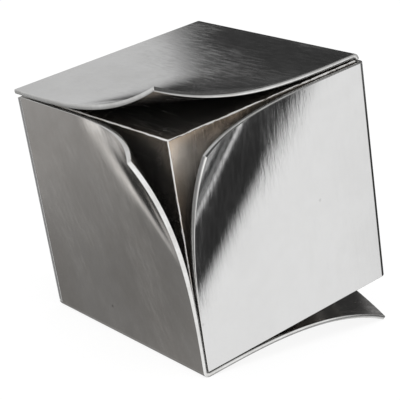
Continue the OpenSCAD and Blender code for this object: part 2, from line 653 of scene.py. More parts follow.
        # A wall steps down from the outer surface, by its own rows of points, to the inner.
        levels = [0, *(under * (k + 1) for k in range(1, WALL_STEPS)), under]
        flip = self._faces_inward(u, v)
        faces: list[tuple[int, ...]] = []
        finish_of: list[int] = []

        def add(face: tuple[int, ...], finish: SheetFace) -> None:
            """Keeps one face, turned so that it faces out of the metal."""
            faces.append(face[::-1] if flip else face)
            finish_of.append(finish.value)

        for i, j in zip(*np.nonzero(present)):
            above, below, side_wall = SheetFace.OUTER, SheetFace.INNER, SheetFace.CUT
            if self.polished_end and middle_u[i, j] > last:
                below = side_wall = SheetFace.OUTER
            elif inset[i, j] < self.sizes.sheet_ease:
                above = below = SheetFace.CUT
            a = int(i * columns + j)
            ring = (a, a + columns, a + columns + 1, a + 1)
            add(ring, above)
            add(tuple(k + under for k in reversed(ring)), below)
            beside = [(i, j - 1), (i + 1, j), (i, j + 1), (i - 1, j)]
            for side, (ni, nj) in enumerate(beside):
                if 0 <= ni < rows - 1 and 0 <= nj < columns - 1 and present[ni, nj]:
                    continue
                start, end = ring[side], ring[(side + 1) % 4]
                for upper, lower in zip(levels, levels[1:]):
                    wall = (end + upper, start + upper, start + lower, end + lower)
                    add(wall, side_wall)
        return faces, finish_of

    def _faces_inward(self, u: np.ndarray, v: np.ndarray) -> bool:
        """Whether rings taken along the sheet, then across it, face into the metal.

        Args:
            u: Grid places along the sheet.
            v: Grid places across the sheet.

        Returns:
            True if the rings have to be turned over.
        """
        row, column = u.shape[0] // 2, u.shape[1] // 2
        at = (u[row : row + 1, column], v[row : row + 1, column], np.zeros(1))
        step = self.sizes.mesh_step / 10
        here = self.place(*at)
        way_u = self.place(at[0] + step, at[1], at[2]) - here
        way_v = self.place(at[0], at[1] + step, at[2]) - here
        inward = self.place(at[0], at[1], at[2] + step) - here
        return float(np.sum(np.cross(way_u, way_v) * inward)) > 0


# ---- Node graphs ----------------------------------------------------------------

Value = bpy.types.NodeSocket | float | tuple[float, ...]

# How far one seed moves a pattern along x, y and z, in metres.
SEED_SHIFTS = (1.7, 2.3, 3.1)


class Graph:
    """Adds nodes to one node tree and links them."""

    def __init__(self, tree: bpy.types.NodeTree) -> None:
        """Takes the tree to add to."""
        self.tree = tree

    def add(self, kind: str, **settings: object) -> bpy.types.Node:
        """Adds a node.

        Args:
            kind: The node's type, without its "ShaderNode" start.
            **settings: Properties to set on it.

        Returns:
            The node.
        """
        node = self.tree.nodes.new("ShaderNode" + kind)
        for name, value in settings.items():
            setattr(node, name, value)
        return node

    def feed(self, socket: bpy.types.NodeSocket, value: Value) -> None:
        """Links a socket to another one, or sets its value.

        Args:
            socket: The input socket.
            value: The socket or the plain value that it gets.
        """
        if isinstance(value, bpy.types.NodeSocket):
            self.tree.links.new(value, socket)
        else:
            socket.default_value = value

    def math(self, operation: str, *values: Value, clamp: bool = False) -> bpy.types.NodeSocket:
        """Adds a Math node.

        Args:
            operation: What it does.
            *values: Its inputs.
            clamp: Whether to keep the result between 0 and 1.

        Returns:
            Its result.
        """
        node = self.add("Math", operation=operation, use_clamp=clamp)
        for socket, value in zip(node.inputs, values):
            self.feed(socket, value)
        return node.outputs[0]

    def ease(
        self, value: Value, low: Value, high: Value, start: Value = 0.0, end: Value = 1.0
    ) -> bpy.types.NodeSocket:
        """Turns a range of one value smoothly into another range.

        Args:
            value: The value.
            low: Where the range starts.
            high: Where the range ends.
            start: The result at low.
            end: The result at high.

        Returns:
            The result.
        """
        node = self.add("MapRange", interpolation_type="SMOOTHSTEP")
        for socket, given in zip(node.inputs, (value, low, high, start, end)):
            self.feed(socket, given)
        return node.outputs[0]

    def noise(
        self,
        vector: Value,
        scale: Value,
        detail: float = 3.0,
        roughness: float = 0.5,
        distortion: float = 0.0,
    ) -> bpy.types.NodeSocket:
        """Adds a noise texture.

        Args:
            vector: Where it is read.
            scale: How fine it is.
            detail: How many finer layers it has.
            roughness: How strong the finer layers are.
            distortion: How far it is pulled about.

        Returns:
            Its value.
        """
        node = self.add("TexNoise")
        self.feed(node.inputs["Vector"], vector)
        self.feed(node.inputs["Scale"], scale)
        node.inputs["Detail"].default_value = detail
        node.inputs["Roughness"].default_value = roughness
        node.inputs["Distortion"].default_value = distortion
        return node.outputs[0]

    def cells(self, vector: Value, scale: float) -> bpy.types.NodeSocket:
        """Adds a texture of scattered round cells.

        Args:
            vector: Where it is read.
            scale: How fine it is.

        Returns:
            The distance to the middle of the nearest cell.
        """
        node = self.add("TexVoronoi", feature="F1", voronoi_dimensions="3D")
        self.feed(node.inputs["Vector"], vector)
        node.inputs["Scale"].default_value = scale
        return node.outputs["Distance"]

    def shifted(self, vector: Value, seed: Value) -> bpy.types.NodeSocket:
        """Moves a vector far away by a seed, so that each piece has its own pattern.

        Args:
            vector: The vector.
            seed: The piece's seed.

        Returns:
            The moved vector.
        """
        apart = self.add("CombineXYZ")
        for socket, factor in zip(apart.inputs, SEED_SHIFTS):
            self.feed(socket, self.math("MULTIPLY", seed, factor))
        node = self.add("VectorMath", operation="ADD")
        self.feed(node.inputs[0], vector)
        self.feed(node.inputs[1], apart.outputs[0])
        return node.outputs[0]

    def drawn_out(
        self, vector: Value, angle: Value, fine: Value, long: Value
    ) -> bpy.types.NodeSocket:
        """Turns a vector in the sheet and scales it unevenly, so that a noise makes streaks.

        Args:
            vector: The vector, in metres.
            angle: Direction of the streaks in the sheet, in radians.
            fine: Scale across the streaks, per metre.
            long: Scale along the streaks, per metre.

        Returns:
            The turned and scaled vector.
        """
        turned = self.add("VectorRotate", rotation_type="Z_AXIS")
        self.feed(turned.inputs["Vector"], vector)
        self.feed(turned.inputs["Angle"], angle)
        scales = self.add("CombineXYZ")
        self.feed(scales.inputs[0], long)
        self.feed(scales.inputs[1], fine)
        self.feed(scales.inputs[2], fine)
        node = self.add("VectorMath", operation="MULTIPLY")
        self.feed(node.inputs[0], turned.outputs[0])
        self.feed(node.inputs[1], scales.outputs[0])
        return node.outputs[0]

    def mix(self, factor: Value, first: Value, second: Value) -> bpy.types.NodeSocket:
        """Mixes two numbers.

        Args:
            factor: Share of the second.
            first: The first number.
            second: The second number.

        Returns:
            The mixed number.
        """
        node = self.add("Mix", data_type="FLOAT")
        self.feed(node.inputs[0], factor)
        self.feed(node.inputs[2], first)
        self.feed(node.inputs[3], second)
        return node.outputs[0]

    def tint(self, factor: Value, first: Value, second: Value) -> bpy.types.NodeSocket:
        """Mixes two colours.

        Args:
            factor: Share of the second.
            first: The first colour.
            second: The second colour.

        Returns:
            The mixed colour.
        """
        node = self.add("Mix", data_type="RGBA")
        self.feed(node.inputs[0], factor)
        self.feed(node.inputs[6], first)
        self.feed(node.inputs[7], second)
        return node.outputs[2]

    def total(self, *values: Value) -> bpy.types.NodeSocket:
        """Adds up numbers.

        Args:
            *values: Two or more numbers.

        Returns:
            Their sum.
        """
        found = values[0]
        for value in values[1:]:
            found = self.math("ADD", found, value)
        return found

    def scaled(self, value: Value, factor: Value) -> bpy.types.NodeSocket:
        """Multiplies two numbers."""
        return self.math("MULTIPLY", value, factor)


class EffectGroup:
    """A shader node group with named sockets, built once and used by several finishes."""

    def __init__(self, name: str, inputs: dict[str, float | None], outputs: Sequence[str]) -> None:
        """Makes the empty group.

        Args:
            name: Name of the group.
            inputs: Its inputs with their first values, or None for a vector.
            outputs: Names of its outputs, which are all numbers.
        """
        self.tree = bpy.data.node_groups.new(name, "ShaderNodeTree")
        for label, value in inputs.items():
            kind = "NodeSocketVector" if value is None else "NodeSocketFloat"
            socket = self.tree.interface.new_socket(label, in_out="INPUT", socket_type=kind)
            if value is not None:
                socket.default_value = value
        for label in outputs:
            self.tree.interface.new_socket(label, in_out="OUTPUT", socket_type="NodeSocketFloat")
        self.graph = Graph(self.tree)
        self.given = self.tree.nodes.new("NodeGroupInput").outputs
        self.result = self.tree.nodes.new("NodeGroupOutput").inputs

    def use(self, graph: Graph, **values: Value) -> bpy.types.NodeOutputs:
        """Places the group in a material.

        Args:
            graph: The material's graph.
            **values: Values for its inputs, named with _ for a space.

        Returns:
            Its outputs.
        """
        node = graph.tree.nodes.new("ShaderNodeGroup")
        node.node_tree = self.tree
        for name, value in values.items():
            graph.feed(node.inputs[name.replace("_", " ")], value)
        return node.outputs


class Effects:
    """The effects that the finishes share."""

    def __init__(self) -> None:
        """Builds every group once."""
        self.scratches = self._scratches()
        self.haze = self._haze()
        self.stains = self._stains()
        self.waves = self._waves()
        self.wear = self._wear()

    @staticmethod
    def _scratches() -> EffectGroup:
        """Fine rubbing scratches in one main direction, with a few that cross them.

        Returns:
            The group, which puts out a mask and a height.
        """
        group = EffectGroup(
            "fine_scratches",
            {"Place": None, "Angle": 0.0, "Scale": 1.0, "Seed": 0.0},
            ("Mask", "Height"),
        )
        g, given = group.graph, group.given
        place = g.shifted(given["Place"], given["Seed"])
        # Turn of the lines in radians, their scales across and along, and how few there are.
        main_lines = (0.0, 1500.0, 26.0, 0.60)
        crossing_lines = (1.1, 1100.0, 34.0, 0.66)
        found = []
        for turn, fine, long, low in (main_lines, crossing_lines):
            angle = g.math("ADD", given["Angle"], turn)
            fine_scale = g.scaled(given["Scale"], fine)
            drawn = g.drawn_out(place, angle, fine_scale, long)
            lines = g.noise(drawn, scale=1.0, detail=2.0, roughness=0.6, distortion=0.15)
            found.append(g.ease(lines, low=low, high=low + 0.12))
        patch = g.ease(g.noise(place, scale=28.0, detail=2.0), low=0.35, high=0.65)
        crossing = g.scaled(found[1], patch)
        mask = g.math("MAXIMUM", found[0], crossing)
        g.feed(group.result["Mask"], mask)
        g.feed(group.result["Height"], g.scaled(mask, -1.0))
        return group

    @staticmethod
    def _haze() -> EffectGroup:
        """Patchy smears left by polishing and wiping, drawn out in one direction.

        Returns:
            The group, which puts out a soft mask and a feathery one.
        """
        group = EffectGroup(
            "polish_haze",
            {"Place": None, "Angle": 0.0, "Patch": 22.0, "Streak": 260.0, "Seed": 0.0},
            ("Soft", "Feathery"),
        )
        g, given = group.graph, group.given
        place = g.shifted(given["Place"], given["Seed"])
        # Patches are twice as long as they are wide, and streaks about six times.
        patch_along = g.scaled(given["Patch"], 0.5)
        streak_along = g.scaled(given["Streak"], 0.16)
        patches = g.drawn_out(place, given["Angle"], given["Patch"], patch_along)
        drawn = g.drawn_out(place, given["Angle"], given["Streak"], streak_along)
        soft = g.ease(g.noise(patches, scale=1.0, detail=4.0), low=0.36, high=0.66)
        streaks = g.noise(drawn, scale=1.0, detail=4.0, roughness=0.62, distortion=0.35)
        grain = g.noise(place, scale=520.0, detail=3.0, roughness=0.7)
        broken = g.total(g.scaled(streaks, 0.7), g.scaled(grain, 0.3))
        feathers = g.ease(broken, low=0.42, high=0.62)
        inside_patches = g.ease(soft, low=0.0, high=0.6, start=0.4, end=1.0)
        g.feed(group.result["Soft"], soft)
        g.feed(group.result["Feathery"], g.scaled(feathers, inside_patches))
        return group

    @staticmethod
    def _stains() -> EffectGroup:
        """Cloudy stains, small dark specks and a few drips.

        Returns:
            The group, which puts out a cloud mask and a speck mask.
        """
        group = EffectGroup(
            "steel_stains",
            {"Place": None, "Scale": 16.0, "Seed": 0.0},
            ("Cloud", "Specks"),
        )
        g, given = group.graph, group.given
        place = g.shifted(given["Place"], given["Seed"])
        broad = g.noise(place, given["Scale"], detail=5.0, roughness=0.6, distortion=0.6)
        fine_scale = g.scaled(given["Scale"], 6.0)
        fine = g.noise(place, fine_scale, detail=4.0, roughness=0.65, distortion=0.2)
        cloud = g.total(g.scaled(broad, 0.7), g.scaled(fine, 0.3))
        dots = g.cells(place, scale=62.0)
        near = g.ease(dots, low=0.03, high=0.10, start=1.0, end=0.0)
        chosen = g.ease(g.noise(place, scale=21.0, detail=1.0), low=0.58, high=0.62)
        g.feed(group.result["Cloud"], g.ease(cloud, low=0.34, high=0.66))
        g.feed(group.result["Specks"], g.scaled(near, chosen))
        return group

    @staticmethod
    def _waves() -> EffectGroup:
        """Gentle unevenness of rolled and polished sheet.

        Returns:
            The group, which puts out a height in millimetres.
        """
        group = EffectGroup(
            "sheet_waves",
            {"Place": None, "Angle": 0.0, "Broad": 0.05, "Ripple": 0.004, "Seed": 0.0},
            ("Height",),
        )
        g, given = group.graph, group.given
        place = g.shifted(given["Place"], given["Seed"])
        swell = g.noise(place, scale=17.0, detail=1.0, roughness=0.3)
        drawn = g.drawn_out(place, given["Angle"], fine=210.0, long=60.0)
        ripple = g.noise(drawn, scale=1.0, detail=3.0, roughness=0.55, distortion=0.3)
        heights = g.scaled(swell, given["Broad"]), g.scaled(ripple, given["Ripple"])
        g.feed(group.result["Height"], g.total(*heights))
        return group

    @staticmethod
    def _wear() -> EffectGroup:
        """A band along the cut edges, uneven in width: metal rubbed bright on the skins, and on the
        inner cube ground metal that also carries a painted highlight.

        Returns:
            The group, which puts out a mask.
        """
        group = EffectGroup(
            "edge_wear",
            {"Place": None, "Distance": 0.0, "Width": 0.8 * MM, "Seed": 0.0},
            ("Mask",),
        )
        g, given = group.graph, group.given
        place = g.shifted(given["Place"], given["Seed"])
        along_edge = g.noise(place, scale=95.0, detail=3.0, roughness=0.6)
        uneven = g.ease(along_edge, low=0.3, high=0.7, start=0.35, end=1.25)
        width = g.scaled(given["Width"], uneven)
        inner = g.scaled(width, 0.35)
        mask = g.ease(given["Distance"], low=inner, high=width, start=1.0, end=0.0)
        g.feed(group.result["Mask"], mask)
        return group


# ---- Finishes -------------------------------------------------------------------

Colour = tuple[float, float, float]


def opaque(colour: Colour) -> tuple[float, float, float, float]:
    """Adds a full alpha to a colour."""
    return (*colour, 1.0)


def new_finish(name: str) -> tuple[bpy.types.Material, Graph, bpy.types.Node]:
    """Makes a material that holds one Principled shader.

    Args:
        name: Name of the material.

    Returns:
        The material, its graph and the shader.
    """
    material = bpy.data.materials.new(name)
    material.use_nodes = True
    material.node_tree.nodes.clear()
    graph = Graph(material.node_tree)
    shader = graph.add("BsdfPrincipled")
    output = graph.add("OutputMaterial")
    graph.feed(output.inputs["Surface"], shader.outputs[0])
    return material, graph, shader


def read_attribute(graph: Graph, name: str, output: str) -> bpy.types.NodeSocket:
    """Reads a value that the mesh carries.

    Args:
        graph: The material's graph.
        name: Name of the attribute.
        output: "Vector" or "Fac".

    Returns:
        The value.
    """
    return graph.add("Attribute", attribute_name=name).outputs[output]


def bumped(graph: Graph, shader: bpy.types.Node, height_mm: Value) -> None:
    """Feeds a height to a shader's normal.

    Args:
        graph: The material's graph.
        shader: The material's shader.
        height_mm: The height, in millimetres.
    """
    bump = graph.add("Bump")
    bump.inputs["Strength"].default_value = 1.0
    bump.inputs["Distance"].default_value = MM
    graph.feed(bump.inputs["Height"], height_mm)
    graph.feed(shader.inputs["Normal"], bump.outputs[0])


@dataclass(frozen=True)
class PolishedSteel:
    """Sheet steel polished to a soft mirror, hazed, stained and finely scratched.

    Heights are in millimetres, and the roughness of lines, stains and haze is added to the
    plain roughness. handled is the reach of hand marks from the free corner, and calm is
    what is left of them beyond it.
    """

    name: str
    bright: Colour = (0.80, 0.80, 0.798)
    stained: Colour = (0.62, 0.612, 0.60)
    speck: Colour = (0.10, 0.09, 0.08)
    worn: Colour = (0.88, 0.875, 0.865)
    stain: float = 0.4
    roughness: float = 0.10
    haze: float = 0.16
    line_roughness: float = 0.05
    stain_roughness: float = 0.03
    worn_roughness: float = 0.30
    wear: float = 0.8
    soft_share: float = 0.35
    dust: float = 0.05
    specks: float = 0.6
    streak: float = 420.0
    feather: float = 0.003
    scratch: float = 0.0012
    rubbed: float = 0.45 * MM
    handled: float = 1.0
    calm: float = 1.0
    angle: float = 0.0
    broad: float = 0.05
    ripple: float = 0.004
    seed: float = 0.0

    def build(self, effects: Effects) -> bpy.types.Material:
        """Makes the material.

        Args:
            effects: The shared effects.

        Returns:
            The material.
        """
        material, g, shader = new_finish(self.name)
        place = read_attribute(g, PLACE_ATTRIBUTE, "Vector")
        distance = read_attribute(g, EDGE_ATTRIBUTE, "Fac")
        haze = effects.haze.use(
            g, Place=place, Angle=self.angle, Streak=self.streak, Seed=self.seed
        )
        stains = effects.stains.use(g, Place=place, Seed=self.seed + 5.0)
        lines = effects.scratches.use(g, Place=place, Angle=self.angle, Seed=self.seed)
        waves = effects.waves.use(
            g,
            Place=place,
            Angle=self.angle,
            Broad=self.broad,
            Ripple=self.ripple,
            Seed=self.seed,
        )
        wear = effects.wear.use(
            g, Place=place, Distance=distance, Width=self.rubbed, Seed=self.seed
        )["Mask"]
        stain = g.scaled(stains["Cloud"], self.stain)
        colour = g.tint(stain, opaque(self.bright), opaque(self.stained))
        colour = g.tint(g.scaled(stains["Specks"], self.specks), colour, opaque(self.speck))
        colour = g.tint(g.scaled(wear, self.wear), colour, opaque(self.worn))
        g.feed(shader.inputs["Base Color"], colour)
        handled = self._handled(g, place)
        clouded = g.total(
            g.scaled(haze["Soft"], self.soft_share),
            g.scaled(haze["Feathery"], 1.0 - self.soft_share),
        )
        clouded = g.scaled(clouded, handled)
        roughness = g.total(
            self.roughness,
            g.scaled(clouded, self.haze),
            g.scaled(lines["Mask"], self.line_roughness),
            g.scaled(stains["Cloud"], self.stain_roughness),
        )
        g.feed(shader.inputs["Roughness"], g.mix(wear, roughness, self.worn_roughness))
        dust = g.scaled(clouded, self.dust)
        g.feed(shader.inputs["Metallic"], g.math("SUBTRACT", 1.0, dust, clamp=True))
        scratches = g.scaled(lines["Height"], self.scratch)
        feathers = g.scaled(haze["Feathery"], -self.feather)
        uneven = g.scaled(g.total(waves["Height"], scratches, feathers), handled)
        bumped(g, shader, uneven)
        return material

    def _handled(self, g: Graph, place: Value) -> bpy.types.NodeSocket:
        """Finds how much the sheet was handled: most near the corner that was curled.

        Args:
            g: The material's graph.
            place: Place on the flat sheet, from its free corner.

        Returns:
            A mask from calm to 1.
        """
        split = g.add("SeparateXYZ")
        g.feed(split.inputs[0], place)
        across = g.scaled(g.total(split.outputs[0], split.outputs[1]), math.sqrt(0.5))
        fade = 0.7 * self.handled
        return g.ease(across, low=fade, high=self.handled, start=1.0, end=self.calm)


@dataclass(frozen=True)
class GroundEdge:
    """A sheared edge dressed with a grinder, with fine marks all over."""

    name: str = "ground_edge"
    bright: Colour = (0.92, 0.92, 0.91)
    dull: Colour = (0.70, 0.69, 0.67)
    dullness: float = 0.7
    roughness: float = 0.11
    mark_roughness: float = 0.10
    stain_roughness: float = 0.05
    mark_scale: float = 1400.0
    mark_height: float = 0.0015
    metal: float = 0.96
    seed: float = 3.0

    def build(self, effects: Effects) -> bpy.types.Material:
        """Makes the material.

        Args:
            effects: The shared effects.

        Returns:
            The material.
        """
        material, g, shader = new_finish(self.name)
        place = read_attribute(g, PLACE_ATTRIBUTE, "Vector")
        stains = effects.stains.use(g, Place=place, Scale=60.0, Seed=self.seed)
        dulled = g.scaled(stains["Cloud"], self.dullness)
        colour = g.tint(dulled, opaque(self.bright), opaque(self.dull))
        g.feed(shader.inputs["Base Color"], colour)
        marks = g.noise(place, self.mark_scale, detail=2.0, roughness=0.6)
        rough = g.total(
            self.roughness,
            g.scaled(marks, self.mark_roughness),
            g.scaled(stains["Cloud"], self.stain_roughness),
        )
        g.feed(shader.inputs["Roughness"], rough)
        shader.inputs["Metallic"].default_value = self.metal
        bumped(g, shader, g.scaled(marks, self.mark_height))
        return material


@dataclass(frozen=True)
class MillSteel:
    """The unpolished side of the sheet: duller, darker and drawn in one direction."""

    name: str
    bright: Colour = (0.66, 0.645, 0.63)
    stained: Colour = (0.42, 0.405, 0.39)
    cloud_share: float = 0.55
    roughness: float = 0.12
    haze: float = 0.16
    line_roughness: float = 0.05
    scratch: float = 0.0016
    angle: float = 0.0
    seed: float = 11.0

    def build(self, effects: Effects) -> bpy.types.Material:
        """Makes the material.

        Args:
            effects: The shared effects.

        Returns:
            The material.
        """
        material, g, shader = new_finish(self.name)
        place = read_attribute(g, PLACE_ATTRIBUTE, "Vector")
        haze = effects.haze.use(
            g, Place=place, Angle=self.angle, Patch=34.0, Streak=180.0, Seed=self.seed
        )
        stains = effects.stains.use(g, Place=place, Scale=24.0, Seed=self.seed)
        lines = effects.scratches.use(g, Place=place, Angle=self.angle, Seed=self.seed)
        shade = g.total(
            g.scaled(stains["Cloud"], self.cloud_share),
            g.scaled(haze["Feathery"], 1.0 - self.cloud_share),
        )
        colour = g.tint(shade, opaque(self.bright), opaque(self.stained))
        g.feed(shader.inputs["Base Color"], colour)
        rough = g.total(
            self.roughness,
            g.scaled(haze["Feathery"], self.haze),
            g.scaled(lines["Mask"], self.line_roughness),
        )
        g.feed(shader.inputs["Roughness"], rough)
        shader.inputs["Metallic"].default_value = 1.0
        bumped(g, shader, g.scaled(lines["Height"], self.scratch))
        return material


@dataclass(frozen=True)
class WeldedSteel:
    """The inner cube's plate: drawn steel, warmed by the weld heat, its ground edges painted
    near-white as a highlight.
    """

    name: str = "welded_steel"
    bright: Colour = (0.72, 0.705, 0.685)
    heated: Colour = (0.74, 0.66, 0.575)
    # The edge colour and the lower metal of the edge band paint the ground edges as a near-white
    # highlight that picks up the soft light.
    edge: Colour = (0.98, 0.975, 0.96)
    heat_width: float = 13 * MM
    edge_highlight_width: float = 1.25 * MM
    roughness: float = 0.17
    haze: float = 0.10
    line_roughness: float = 0.04
    edge_roughness: float = 0.25
    scratch: float = 0.0008
    metal: float = 0.985
    edge_highlight_metal: float = 0.45
    seed: float = 23.0

    def build(self, effects: Effects) -> bpy.types.Material:
        """Makes the material.

        Args:
            effects: The shared effects.

        Returns:
            The material.
        """
        material, g, shader = new_finish(self.name)
        place = read_attribute(g, PLACE_ATTRIBUTE, "Vector")
        distance = read_attribute(g, EDGE_ATTRIBUTE, "Fac")
        stains = effects.stains.use(g, Place=place, Scale=20.0, Seed=self.seed)
        haze = effects.haze.use(g, Place=place, Angle=HALF_PI, Streak=320.0, Seed=self.seed)
        lines = effects.scratches.use(g, Place=place, Angle=HALF_PI, Seed=self.seed)
        # Band along the ground edges: partly ground metal, partly a painted highlight that is
        # near-white and less metallic.
        wear = effects.wear.use(
            g, Place=place, Distance=distance, Width=self.edge_highlight_width, Seed=self.seed
        )["Mask"]
        heat = g.ease(distance, low=0.0, high=self.heat_width, start=1.0, end=0.0)
        heat = g.scaled(heat, g.ease(stains["Cloud"], low=0.0, high=1.0, start=0.4, end=1.0))
        colour = g.tint(heat, opaque(self.bright), opaque(self.heated))
        colour = g.tint(wear, colour, opaque(self.edge))
        g.feed(shader.inputs["Base Color"], colour)
        rough = g.total(
            self.roughness,
            g.scaled(haze["Feathery"], self.haze),
            g.scaled(lines["Mask"], self.line_roughness),
        )
        g.feed(shader.inputs["Roughness"], g.mix(wear, rough, self.edge_roughness))
        g.feed(shader.inputs["Metallic"], g.mix(wear, self.metal, self.edge_highlight_metal))
        bumped(g, shader, g.scaled(lines["Height"], self.scratch))
        return material


@dataclass(frozen=True)
class BondingFoam:
    """Closed-cell foam of the bonding pads: dark grey, full of small pores."""

    name: str = "bonding_foam"
    light: Colour = (0.055, 0.053, 0.052)
    dark: Colour = (0.018, 0.018, 0.019)
    pore_scale: float = 2600.0
    pore_share: float = 0.7
    pore_depth: float = 0.06
    roughness: float = 0.8
    stain_roughness: float = 0.12

    def build(self, effects: Effects) -> bpy.types.Material:
        """Makes the material.

        Args:
            effects: The shared effects.

        Returns:
            The material.
        """
        material, g, shader = new_finish(self.name)
        place = read_attribute(g, PLACE_ATTRIBUTE, "Vector")
        pores = g.ease(g.cells(place, self.pore_scale), low=0.1, high=0.6)
        stains = effects.stains.use(g, Place=place, Scale=90.0, Seed=7.0)
        shade = g.total(
            g.scaled(pores, self.pore_share), g.scaled(stains["Cloud"], 1.0 - self.pore_share)
        )
        g.feed(shader.inputs["Base Color"], g.tint(shade, opaque(self.dark), opaque(self.light)))
        rough = g.total(self.roughness, g.scaled(stains["Cloud"], self.stain_roughness))
        g.feed(shader.inputs["Roughness"], rough)
        bumped(g, shader, g.scaled(shade, self.pore_depth))
        return material


# ---- The skins ------------------------------------------------------------------


@dataclass
class Skin:
    """What the three skins share: a folded sheet with a finish for each kind of face."""

    sizes: CubeSizes
    stance: Stance
    effects: Effects
    cut_edge: bpy.types.Material

    def _make(self, sheet: FoldedSheet, outer: PolishedSteel, inner: MillSteel) -> bpy.types.Object:
        """Builds and dresses one skin, in place of its CAD node.

        Args:
            sheet: The folded sheet.
            outer: Finish of its outer surface.
            inner: Finish of its inner surface.

        Returns:
            The piece.
        """
        finishes = [outer.build(self.effects), inner.build(self.effects), self.cut_edge]
        piece = sheet.build().to_object(sheet.node + "_sheet", finishes)
        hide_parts(sheet.node)
        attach(piece, ROOT)
        LOG.info("%s: %d faces", piece.name, len(piece.data.polygons))
        return piece


@dataclass
class TopSkin(Skin):
    """The top sheet: its front left corner lifts, and its right edge is rolled over."""

    curl_deg: float = 42.5
    flats: tuple[float, float] = (4 * MM, 4 * MM)

    def build(self) -> bpy.types.Object:
        """Builds the skin.

        Returns:
            The piece.
        """
        s = self.sizes
        length = s.high_tangent + s.stand_off
        width = s.outer + s.top_overhang - s.top_setback
        corner = (-s.stand_off, s.top_setback, s.outer)
        face = curled_panel(
            length,
            corner,
            (X_AXIS, Y_AXIS),
            (length, width),
            self.flats,
            self.curl_deg,
            s.curl_power,
            x_across=False,
        )
        axis = np.array([s.high_tangent, s.top_setback, s.high_tangent])
        roll = FoldPanel(s.fold_outer, axis, Y_AXIS, Z_AXIS, X_AXIS)
        outline = [Cut(0.0, length + roll.length, 0.0, width)]
        sheet = FoldedSheet("top_skin", [face, roll], outline, s, self.stance)
        outer = PolishedSteel("top_steel", roughness=0.06, haze=0.11, angle=HALF_PI, seed=1.0)
        return self._make(sheet, outer, MillSteel("top_steel_inside", seed=12.0))


@dataclass
class SideSkin(Skin):
    """The left sheet, folded under the cube. Its two free corners curl: one is the foot."""

    left_curl_deg: float = 48.0
    left_flats: tuple[float, float] = (49 * MM, 2.5 * MM)
    foot_curl_deg: float = 41.0
    foot_turn_deg: float = 34.0
    foot_flat: float = 8 * MM

    def build(self) -> bpy.types.Object:
        """Builds the skin.

        Returns:
            The piece.
        """
        s = self.sizes
        drop = s.core - s.low_tangent
        left_width = s.core + s.stand_off + s.pad - s.seam
        left = curled_panel(
            drop,
            (-s.stand_off, -s.stand_off, s.core),
            (Y_AXIS, -Z_AXIS),
            (left_width, drop),
            self.left_flats,
            self.left_curl_deg,
            s.curl_power,
            x_across=True,
        )
        axis = np.array([s.low_tangent, -s.stand_off, s.low_tangent])
        fold = FoldPanel(s.fold_outer, axis, Y_AXIS, -X_AXIS, -Z_AXIS)
        under = self._foot()
        full_width = s.outer + s.stand_off
        end = drop + fold.length + under.length
        outline = [Cut(0.0, end, 0.0, left_width), Cut(drop, end, 0.0, full_width)]
        sheet = FoldedSheet("side_skin", [left, fold, under], outline, s, self.stance)
        outer = PolishedSteel(
            "side_steel",
            # The side skin's steel is warmer than the other skins': a painted reflection of a warm
            # floor.
            bright=(0.82, 0.788, 0.752),
            stained=(0.67, 0.628, 0.582),
            stain=0.55,
            roughness=0.06,
            haze=0.09,
            angle=0.35,
            broad=0.03,
            seed=2.0,
        )
        return self._make(sheet, outer, MillSteel("side_steel_inside", seed=13.0))

    def _foot(self) -> CurlPanel:
        """Makes the bottom sheet, whose free corner is the foot.

        Returns:
            The panel. Its curl starts on a line that leaves the sheet through its rear edge.
        """
        s = self.sizes
        far = s.outer + s.foot_overhang
        length = far - s.low_tangent
        turn = math.radians(self.foot_turn_deg)
        return CurlPanel(
            length,
            np.array([far, -s.stand_off, -s.stand_off]),
            -X_AXIS,
            Y_AXIS,
            turn,
            (length - self.foot_flat) * math.cos(turn),
            math.radians(self.foot_curl_deg),
            s.curl_power,
            from_end=True,
        )


@dataclass
class WrapSkin(Skin):
    """The front sheet, wrapped round the right and the rear. Its upper near corner curls."""

    curl_deg: float = 42.0
    flats: tuple[float, float] = (3.5 * MM, 10 * MM)

    def build(self) -> bpy.types.Object:
        """Builds the skin.

        Returns:
            The piece.
        """
        s = self.sizes
        height = s.inside_lip - s.above_foot
        front_length = s.high_tangent - s.above_foot
        front = curled_panel(
            front_length,
            (s.above_foot, -s.stand_off, s.inside_lip),
            (-Z_AXIS, X_AXIS),
            (height, front_length),
            self.flats,
            self.curl_deg,
            s.curl_power,
            x_across=True,
        )
        near_axis = np.array([s.high_tangent, s.low_tangent, s.inside_lip])
        near_fold = FoldPanel(s.fold_outer, near_axis, -Z_AXIS, -Y_AXIS, X_AXIS)
        right_corner = np.array([s.outer, s.low_tangent, s.inside_lip])
        right_length = s.high_tangent - s.low_tangent
        right = FlatPanel(right_length, right_corner, Y_AXIS, -Z_AXIS, X_AXIS)
        far_axis = np.array([s.high_tangent, s.high_tangent, s.inside_lip])
        far_fold = FoldPanel(s.fold_outer, far_axis, -Z_AXIS, X_AXIS, Y_AXIS)
        rear_corner = np.array([s.high_tangent, s.outer, s.inside_lip])
        rear_length = s.high_tangent + s.stand_off
        rear = FlatPanel(rear_length, rear_corner, -X_AXIS, -Z_AXIS, Y_AXIS)
        panels: list[Panel] = [front, near_fold, right, far_fold, rear]
        end = sum(panel.length for panel in panels)
        relief = s.low_tangent + s.seam
        outline = [
            Cut(0.0, end - relief - s.stand_off, 0.0, height),
            Cut(0.0, end, 0.0, height - relief + s.above_foot),
        ]
        sheet = FoldedSheet("wrap_skin", panels, outline, s, self.stance, polished_end=True)
        outer = PolishedSteel(
            "wrap_steel",
            stain=0.15,
            roughness=0.055,
            haze=0.09,
            dust=0.05,
            specks=0.15,
            angle=HALF_PI,
            ripple=0.010,
            feather=0.015,
            handled=105 * MM,
            calm=0.22,
            seed=3.0,
        )
        # The wrap skin's inside is lighter than the other skins' insides: painted light, so that
        # the inner cube's front mirrors a brighter highlight.
        inner = MillSteel(
            "wrap_steel_inside", bright=(0.78, 0.77, 0.76), angle=HALF_PI, seed=14.0
        )
        return self._make(sheet, outer, inner)


# ---- The inner cube and its pads --------------------------------------------------

CORE_EASE_STEPS = 5


